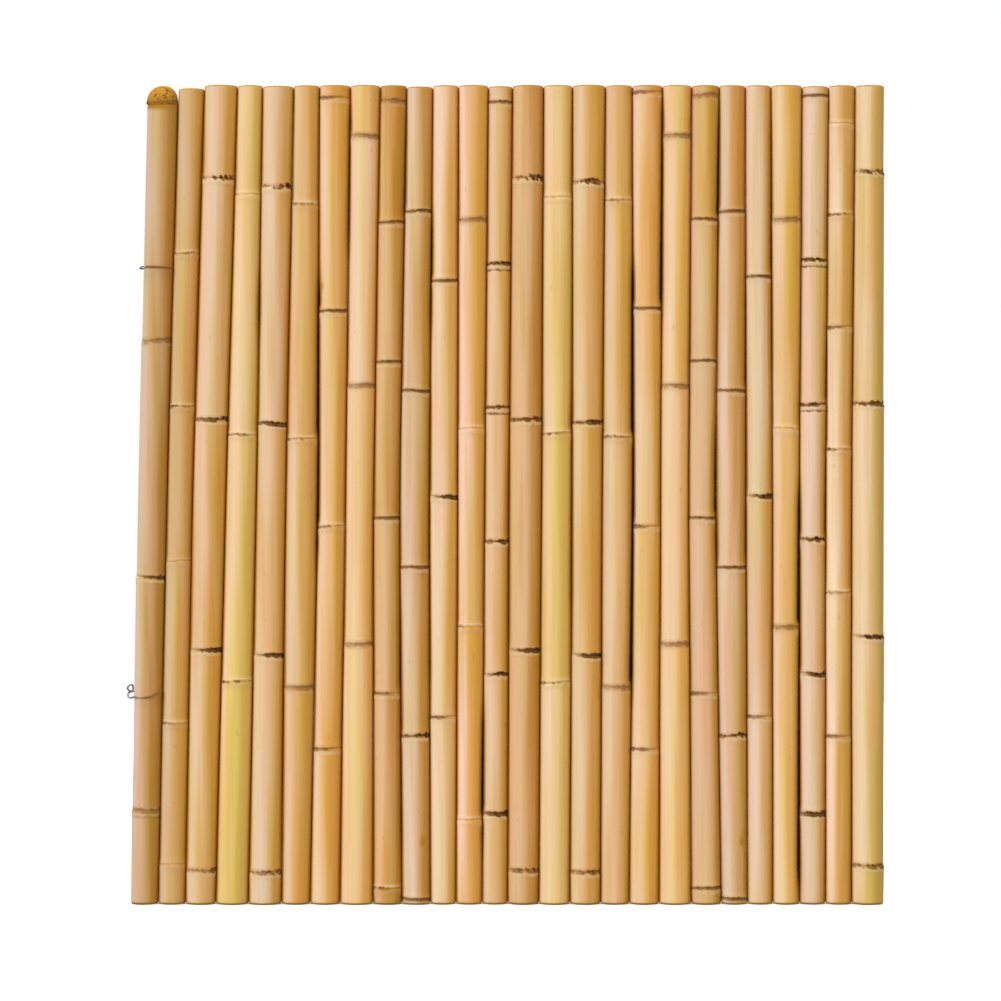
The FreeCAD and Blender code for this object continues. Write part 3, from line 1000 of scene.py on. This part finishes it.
    def skin_ring(self, z, inset=0.0, end_z=None):
        """Add a ring of the skin, wavy where it passes a node. An inset ring lies on a rounded saw cut."""
        culm = self.culm
        look, wave, scar_mm = self.nearest_node(z)
        x = culm.axis(z)
        y = self.axis_y(z)
        radius = culm.radius(z)
        relief = node_relief(look, scar_mm) * MM - culm.lag(z)
        end_room = min(1.0, z / END_ROOM, (culm.head - z) / END_ROOM)
        reach = max(0.0, 1 - abs(scar_mm) / WAVE_GONE) * end_room * look.wave * MM
        level = z if end_z is None else end_z
        points = []
        for turn in TURNS:
            sideways = math.cos(turn)
            free = 1.0
            if not self.is_open(sideways):
                free = 1 - ease(abs(sideways), TOUCH_START, TOUCH_FULL)
            out = radius + relief * free + SIDE_EXTRA * (1 - free) - inset
            lift = wave[0] * sideways + wave[1] * math.sin(turn)
            lift += FINE_WAVES * (wave[2] * math.sin(2 * turn) + wave[3] * math.cos(3 * turn))
            lifted = level + lift * reach if end_z is None else level
            points.append((x + out * sideways, y + out * math.sin(turn), lifted))
        self.shell.ring(points, SKIN, self.growths_at(z), self.tones_at(z), self.creases_at(z, level))

    def foot(self):
        """From the first septum down the hollow and out across the saw cut."""
        depth = self.culm.nodes[0] - HALF_SEPTUM
        if depth > SHALLOWEST_HOLLOW:
            self.shell.ring(self.centre_point(depth), LINING)
            for z in reversed(hollow_depths(depth)):
                self.end_ring(z, self.hollow_radius(z), LINING)
            self.end_ring(0.0, self.hollow_radius(0.0) + SAW_BEVEL, SAWN)
        else:
            self.shell.ring(self.centre_point(0.0), SAWN)
        self.end_ring(0.0, self.culm.radius(0.0) - self.culm.lag(0.0) - SAW_ROUNDING, SAWN)
        self.skin_ring(SAW_ROUNDING, SAW_SHOULDER, SAW_SHOULDER)

    def skin(self):
        """Up the skin from the foot's rounded cut to the head's, or to the knob."""
        for z in culm_levels(self.culm, self.top, self.buds):
            self.skin_ring(z)

    def knob(self):
        """The rounded knob over the last node."""
        culm = self.culm
        base = culm.radius(self.top)
        for step in range(1, KNOB_STEPS):
            share = math.sin(math.pi / 2 * step / KNOB_STEPS)
            z = self.top + (culm.head - self.top) * share
            swell = KNOB_SWELL * (1 - share)
            radius = base * (1 - share**KNOB_FULLNESS) ** (1 / KNOB_FULLNESS) + swell
            ring = level_ring(culm.axis(z) - swell, self.axis_y(z), z, radius)
            shade_and_grime = [KNOB_GRIME + self.draw.uniform(-KNOB_MOTTLING, KNOB_MOTTLING) for _ in TURNS]
            self.shell.ring(ring, SKIN, self.growths_at(z), self.tones_at(z, KNOB_BROWNING), shade_and_grime)
        crown = self.growths_at(culm.head)[:1]
        self.shell.ring(self.centre_point(culm.head), SKIN, crown, [KNOB_TOP_TONE], [KNOB_GRIME])

    def sawn_head(self):
        """In across the saw cut and down the hollow to the last septum."""
        head = self.culm.head
        self.skin_ring(head - SAW_ROUNDING, SAW_SHOULDER, head - SAW_SHOULDER)
        self.end_ring(head, self.culm.radius(head) - SAW_ROUNDING, SAWN)
        depth = head - (self.culm.nodes[-1] + HALF_SEPTUM)
        if depth > SHALLOWEST_HOLLOW:
            self.end_ring(head, self.hollow_radius(head) + SAW_BEVEL, SAWN)
            for below in hollow_depths(depth):
                self.end_ring(head - below, self.hollow_radius(head - below), LINING)
            self.shell.ring(self.centre_point(head - depth), LINING)
        else:
            self.shell.ring(self.centre_point(head), SAWN)


def build_culm(index, name, materials, drill):
    """One finished culm in place of its packed pole."""
    tint = CULMS[index][0]
    culm = Culm(name)
    builder = CulmBuilder(index, culm)
    builder.foot()
    builder.skin()
    if culm.domed:
        builder.knob()
    else:
        builder.sawn_head()
    made = builder.shell.piece(f"bamboo_culm_{index + 1:02d}", materials[tint], drill)
    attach(made, "root")
    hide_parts(name)
    return culm


# Building the wires


def wire_piece(name, node, route, material, tail_browning_from, tail_browning_to):
    """A round wire along a smooth line through given points, going pale and brown between two places in x.
    """
    curve = bpy.data.curves.new(name, "CURVE")
    curve.dimensions = "3D"
    curve.bevel_depth = WIRE_RADIUS
    curve.bevel_resolution = WIRE_ROUNDNESS
    curve.use_fill_caps = True
    curve.resolution_u = WIRE_FINENESS
    spline = curve.splines.new("NURBS")
    spline.points.add(len(route) - 1)
    for point, place in zip(spline.points, route):
        point.co = (*place, 1.0)
    spline.order_u = 4
    spline.use_endpoint_u = True
    drawn = bpy.data.objects.new(name, curve)
    mesh = bpy.data.meshes.new_from_object(drawn)
    mesh.name = name
    bpy.data.objects.remove(drawn)
    mesh.materials.clear()
    mesh.materials.append(material)
    mesh.shade_smooth()
    mesh.set_sharp_from_angle(angle=math.radians(SHARP_EDGE_DEG))
    tarnish = [ease(vertex.co.x, tail_browning_from, tail_browning_to) for vertex in mesh.vertices]
    mesh.attributes.new("tarnish", "FLOAT", "POINT").data.foreach_set("value", tarnish)
    made = in_scene(name, mesh)
    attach(made, "root")
    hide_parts(node)


def round_front(culm, z_start, z_end, start_deg, end_deg, level_share):
    """Points of a wire lying on the front of a culm, from one bearing round to another.

    It runs level for a share of the way and then changes height.
    """
    points = []
    for step in range(POINTS_ROUND_FRONT):
        share = step / (POINTS_ROUND_FRONT - 1)
        bearing = math.radians(start_deg + (end_deg - start_deg) * share)
        z = z_start + (z_end - z_start) * ease(share, level_share, 1.0)
        radius = culm.radius(z) + (WIRE_LIFT_MM + END_LIFT_MM * (1 - share) ** 2) * MM
        points.append((culm.axis(z) + radius * math.cos(bearing), radius * math.sin(bearing), z))
    return points


def build_wires(first, material):
    """Both binding wires: through the row, out at the left and back across the first culm's front."""
    for wire in WIRES:
        end = WIRE_ENDS[wire]
        z = wire_height(wire)
        left = first.axis(z) - first.radius(z)
        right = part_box(wire)[1].x
        along = (right, *STRAIGHT_RUN, left + INSIDE_FIRST_CULM, left - end.straight * MM)
        route = [(x, 0, z) for x in along]
        route += [(left - out * MM, back * MM, z + up * MM) for out, back, up in end.bends]
        tail_start, tail_end = (z + height * MM for height in end.heights)
        route += round_front(first, tail_start, tail_end, *end.bearings, end.level_share)
        wire_piece(end.piece, wire, route, material, left, left + end.tarnish * MM)


# The object


ends = sawn_bamboo_end()
lining = bamboo_pith_lining()
finishes = {tint: (dried_bamboo_rind(tint), ends, lining) for tint in TINTS}
drill = wire_drill()
culms = [
    build_culm(index, f"bamboo_pole_{index + 1:02d}", finishes, drill) for index in range(len(CULMS))
]
bpy.data.objects.remove(drill)
build_wires(culms[0], galvanised_steel_wire())


# The studio


def studio_floor():
    """A wide plain floor just under the feet, which lights nothing from below."""
    mesh = bpy.data.meshes.new("studio_floor")
    sides = ((-1, -1), (1, -1), (1, 1), (-1, 1))
    corners = [(x * FLOOR_REACH, y * FLOOR_REACH, -FLOOR_DROP) for x, y in sides]
    mesh.from_pydata(corners, [], [(0, 1, 2, 3)])
    mesh.materials.append(painted_studio_floor())
    made = in_scene("studio_floor", mesh)
    made.visible_diffuse = False
    made.visible_glossy = False


def soft_sun(name, azimuth_deg, elevation_deg, energy, spread_deg):
    """A soft distant light from a bearing left of the front and an elevation."""
    light = bpy.data.lights.new(name, "SUN")
    light.energy = energy
    light.angle = math.radians(spread_deg)
    made = in_scene(name, light)
    azimuth = math.radians(azimuth_deg)
    elevation = math.radians(elevation_deg)
    left = math.sin(azimuth) * math.cos(elevation)
    forwards = math.cos(azimuth) * math.cos(elevation)
    towards = Vector((-left, -forwards, math.sin(elevation)))
    made.rotation_euler = towards.to_track_quat("Z", "Y").to_euler()


def white_surroundings(shown, lighting):
    """A white room: one brightness behind the object, another for the light that it gives."""
    world = bpy.data.worlds.new("white_surroundings")
    world.use_nodes = True
    tree = world.node_tree
    tree.nodes.clear()
    seen = add(tree, "LightPath")["Is Camera Ray"]
    strength = add(tree, "MapRange", {"Value": seen, 1: 0.0, 2: 1.0, 3: lighting, 4: shown})[0]
    glow = add(tree, "Background", {"Color": (1, 1, 1, 1), "Strength": strength})[0]
    add(tree, "OutputWorld", {"Surface": glow})
    bpy.context.scene.world = world


def front_camera():
    """A level camera square on to the row, at the photograph's scale."""
    camera = bpy.data.cameras.new("front_camera")
    camera.sensor_width = SENSOR_MM
    camera.sensor_fit = "HORIZONTAL"
    focal_pixels = CAMERA_DISTANCE / (ROW_MM_PER_PIXEL * MM)
    camera.lens = focal_pixels * SENSOR_MM / IMAGE_PIXELS
    camera.clip_end = CAMERA_SIGHT
    made = in_scene("front_camera", camera)
    made.location = (CAMERA_X, -CAMERA_DISTANCE, CAMERA_Z)
    made.rotation_euler = (math.radians(90), 0, 0)
    bpy.context.scene.camera = made


studio_floor()
soft_sun("key_light", azimuth_deg=44, elevation_deg=30, energy=1.9, spread_deg=34)
soft_sun("fill_light", azimuth_deg=-55, elevation_deg=20, energy=0.5, spread_deg=40)
soft_sun("back_light", azimuth_deg=150, elevation_deg=35, energy=1.4, spread_deg=40)
soft_sun("top_light", azimuth_deg=0, elevation_deg=84, energy=2.6, spread_deg=30)
white_surroundings(shown=1.0, lighting=0.46)
front_camera()
bpy.context.scene.view_settings.view_transform = "Standard"
